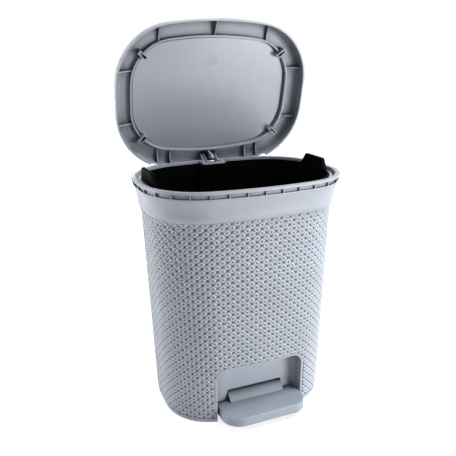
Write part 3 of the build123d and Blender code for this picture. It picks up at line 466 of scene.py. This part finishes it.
# Lid frame and hinge pin
# The frame is a shell of the body's plastic, with a rounded rim, a channel stiffened by ribs, and two ears.
# The steel pin sits in the hinge pocket of the body, and the ears turn on it with a little play.
# The frame's channel and ribs carry painted shade in their corners
finish_node("lid_frame", moulded_plastic("lid_plastic", body_grey, gloss=0.40, corner_shade_reach=0.022))
finish_node("hinge_pin", drawn_across)


# Lid panel
# A flanged dish that closes the frame from above; four prongs snap into the frame's corner pockets.
# Its underside is the smooth face seen in the open lid; its top holds the same knit as the wall.
# The panel is the body's plastic, painted darker than the body grey: painted shade on the lid's underside
panel_painted_darker_grey = (0.385, 0.422, 0.487)
panel_plastic = moulded_plastic(
    "panel_plastic", panel_painted_darker_grey, gloss=0.28, shine=0.8, mottle=0.04, grain_height=0.000008
)
finish_node("lid_panel", panel_plastic)
mark_place = np.array((0.0, -0.052, 0.3668))
mark_radius = 0.008
mark_edge_range = (0.9, 1.05)
mark_shade = (0.90, 0.90, 0.91)
field_size = (0.1210, 0.0828, 0.0590)
field_floor = 0.36895
field_end_gap = 0.001
lid_skin = 0.0011
lid_yarn = 0.0012
hinge_y, hinge_z = 0.1065, 0.349
lid_open = math.radians(77.46)


def open_lid(points):
    """Points given in the shut lid, turned about the hinge line to the open lid."""
    aside, y, up = points[..., 0], points[..., 1] - hinge_y, points[..., 2] - hinge_z
    turned_y = hinge_y + y * math.cos(lid_open) + up * math.sin(lid_open)
    turned_z = hinge_z - y * math.sin(lid_open) + up * math.cos(lid_open)
    return np.stack([aside, turned_y, turned_z], -1)


# The mould leaves a round mark on the underside, a little duller than the rest
panel_place = shader(panel_plastic, "ShaderNodeTexCoord", (-900, 650))
mark_away = shader(panel_plastic, "ShaderNodeVectorMath", (-650, 650), operation="DISTANCE")
mark_away.inputs[1].default_value = open_lid(mark_place)
mark_edge = shader(panel_plastic, "ShaderNodeMapRange", (-400, 650))
mark_edge.inputs["From Min"].default_value = mark_radius * mark_edge_range[0]
mark_edge.inputs["From Max"].default_value = mark_radius * mark_edge_range[1]
panel_plastic.node_tree.links.new(panel_place.outputs["Object"], mark_away.inputs[0])
panel_plastic.node_tree.links.new(mark_away.outputs["Value"], mark_edge.inputs["Value"])
shade_between(panel_plastic, mark_edge.outputs["Result"], mark_shade)

# Knit on the panel's top: straight rows and columns, with the rows that the bowed edge cuts off closed up along it
flank_middle, back_middle, edge_count = 2.5, 4.5, 4001
edge = bowed_outline(field_size, np.linspace(flank_middle, back_middle, edge_count))
end_column = math.floor((field_size[0] - field_end_gap) / column_step)
knit_x = np.arange(-end_column, end_column + 1) * column_step
edge_y = np.interp(np.abs(knit_x), edge[::-1, 0], edge[::-1, 1])
end_row = math.ceil(field_size[1] / row_step)
knit_y = np.repeat((np.arange(-end_row, end_row + 1) * row_step)[:, None], len(knit_x), 1)
whole = edge_y - cut_margin
cut = whole + (np.abs(knit_y) - whole) * cut_margin / (end_row * row_step - whole)
knit_y = np.where(np.abs(knit_y) > whole, np.sign(knit_y) * cut, knit_y)
inside = np.minimum(edge_y - np.abs(knit_y), field_size[0] - np.abs(knit_x)) / cut_margin
grid_x = np.repeat(knit_x[None], len(knit_y), 0)
lid_height, lid_unshaded_share = knit_stitches(grid_x, knit_y)
lid_height = lid_height * np.clip(inside, 0, 1)
lid_front = np.stack([grid_x, knit_y, field_floor + lid_skin + lid_yarn * lid_height], -1)
lid_back = np.stack([knit_x, edge_y, np.full(len(knit_x), field_floor)], -1)
lid_knit = relief_piece(
    "lid_knit",
    open_lid(lid_front),
    open_lid(lid_back * (1, -1, 1)),
    open_lid(lid_back),
    lid_unshaded_share,
    knit_plastic,
)
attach(lid_knit, "lid")


# Studio
# A white floor that throws light back up, and four soft boxes: low at the front right, behind, at the left, and
# overhead at the right. Floor and world are lifted to white only where the camera or a reflection sees them,
# and less round the object, so that its shadow stays.
floor_half = 6.0
floor_drop = 0.0002
floor_white = 0.80
floor_near, floor_far = 0.15, 0.45
floor_lift_near, floor_lift_far = 0.75, 1.0
world_fill, world_white = 0.03, 1.0
floor_mesh = bpy.data.meshes.new("studio_floor")
corner_signs = ((-1, -1), (1, -1), (1, 1), (-1, 1))
floor_corners = [(x * floor_half, y * floor_half, -floor_drop) for x, y in corner_signs]
floor_mesh.from_pydata(floor_corners, [], [(0, 1, 2, 3)])
floor = bpy.data.objects.new("studio_floor", floor_mesh)
bpy.context.scene.collection.objects.link(floor)
floor_paint = bpy.data.materials.new("floor_white")
floor_paint.use_nodes = True
floor_paint.node_tree.nodes.clear()
join = floor_paint.node_tree.links.new
floor_out = shader(floor_paint, "ShaderNodeOutputMaterial", (600, 0))
floor_colour = (floor_white, floor_white, floor_white, 1)
floor_diffuse = shader(floor_paint, "ShaderNodeBsdfDiffuse", (0, 100), Color=floor_colour)
floor_glow = shader(floor_paint, "ShaderNodeEmission", (0, -100), Color=(1, 1, 1, 1))
floor_rays = shader(floor_paint, "ShaderNodeLightPath", (-600, -100))
floor_seen = shader(floor_paint, "ShaderNodeMath", (-400, -100), operation="MAXIMUM")
floor_lift = shader(floor_paint, "ShaderNodeMath", (-200, -100), operation="MULTIPLY")
floor_place = shader(floor_paint, "ShaderNodeTexCoord", (-1000, -300))
floor_reach = shader(floor_paint, "ShaderNodeVectorMath", (-800, -300), operation="LENGTH")
floor_fade = shader(floor_paint, "ShaderNodeMapRange", (-400, -300))
floor_fade.inputs["From Min"].default_value = floor_near
floor_fade.inputs["From Max"].default_value = floor_far
floor_fade.inputs["To Min"].default_value = floor_lift_near
floor_fade.inputs["To Max"].default_value = floor_lift_far
join(floor_place.outputs["Object"], floor_reach.inputs[0])
join(floor_reach.outputs["Value"], floor_fade.inputs["Value"])
join(floor_fade.outputs["Result"], floor_lift.inputs[1])
floor_both = shader(floor_paint, "ShaderNodeAddShader", (300, 0))
join(floor_rays.outputs["Is Camera Ray"], floor_seen.inputs[0])
join(floor_rays.outputs["Is Glossy Ray"], floor_seen.inputs[1])
join(floor_seen.outputs[0], floor_lift.inputs[0])
join(floor_lift.outputs[0], floor_glow.inputs["Strength"])
join(floor_diffuse.outputs[0], floor_both.inputs[0])
join(floor_glow.outputs[0], floor_both.inputs[1])
join(floor_both.outputs[0], floor_out.inputs["Surface"])
floor_mesh.materials.append(floor_paint)

world = bpy.data.worlds.new("studio")
bpy.context.scene.world = world
world.use_nodes = True
world.node_tree.nodes.clear()
join = world.node_tree.links.new
world_out = shader(world, "ShaderNodeOutputWorld", (600, 0))
world_glow = shader(world, "ShaderNodeBackground", (300, 0), Color=(1, 1, 1, 1))
world_rays = shader(world, "ShaderNodeLightPath", (-600, 0))
world_seen = shader(world, "ShaderNodeMath", (-400, 0), operation="MAXIMUM")
world_clear = shader(world, "ShaderNodeMath", (-200, 0), operation="MAXIMUM")
world_level = shader(world, "ShaderNodeMapRange", (0, 0))
world_level.inputs["To Min"].default_value = world_fill
world_level.inputs["To Max"].default_value = world_white
join(world_rays.outputs["Is Camera Ray"], world_seen.inputs[0])
join(world_rays.outputs["Is Glossy Ray"], world_seen.inputs[1])
join(world_seen.outputs[0], world_clear.inputs[0])
join(world_rays.outputs["Is Transmission Ray"], world_clear.inputs[1])
join(world_clear.outputs[0], world_level.inputs["Value"])
join(world_level.outputs["Result"], world_glow.inputs["Strength"])
join(world_glow.outputs[0], world_out.inputs["Surface"])


def soft_box(name, place, aim, width, height, watts):
    """A rectangular lamp at a place, turned so that it faces the aim."""
    lamp = bpy.data.lights.new(name, "AREA")
    lamp.shape = "RECTANGLE"
    lamp.size, lamp.size_y = width, height
    lamp.energy = watts
    stand = bpy.data.objects.new(name, lamp)
    stand.location = place
    stand.rotation_euler = (Vector(aim) - Vector(place)).to_track_quat("-Z", "Y").to_euler()
    bpy.context.scene.collection.objects.link(stand)


middle = (0.0, 0.0, 0.25)
soft_box("front_box", (0.82, -1.17, 0.24), middle, 0.7, 0.45, 13.2)
soft_box("back_box", (0.10, 1.50, 0.60), middle, 0.9, 0.9, 15.0)
soft_box("left_box", (-1.25, 0.45, 0.30), middle, 0.6, 0.55, 9.3)
soft_box("top_box", (0.70, -0.25, 1.40), middle, 0.7, 0.7, 18.3)


# Camera
# A pinhole at the photograph's place: in front, to the left and higher than the rim.
# Its place, aim, roll and focal length were fitted to the photograph.
aim = Vector((-0.0132, 0.0, 0.26682))
azimuth, elevation, roll = (math.radians(angle) for angle in (-22.25, 17.37, -0.57))
distance = 0.86426
focal_pixels, image_pixels, sensor = 574.14, 456.0, 36.0
back_x = math.sin(azimuth) * math.cos(elevation)
back_y = -math.cos(azimuth) * math.cos(elevation)
back = Vector((back_x, back_y, math.sin(elevation)))
camera_data = bpy.data.cameras.new("camera")
camera_data.sensor_width = sensor
camera_data.lens = focal_pixels / image_pixels * sensor
camera = bpy.data.objects.new("camera", camera_data)
level = (-back).to_track_quat("-Z", "Y").to_matrix().to_4x4()
camera.matrix_world = Matrix.Translation(aim + back * distance) @ level @ Matrix.Rotation(roll, 4, "Z")
bpy.context.scene.collection.objects.link(camera)
bpy.context.scene.camera = camera
bpy.context.scene.view_settings.view_transform = "Standard"
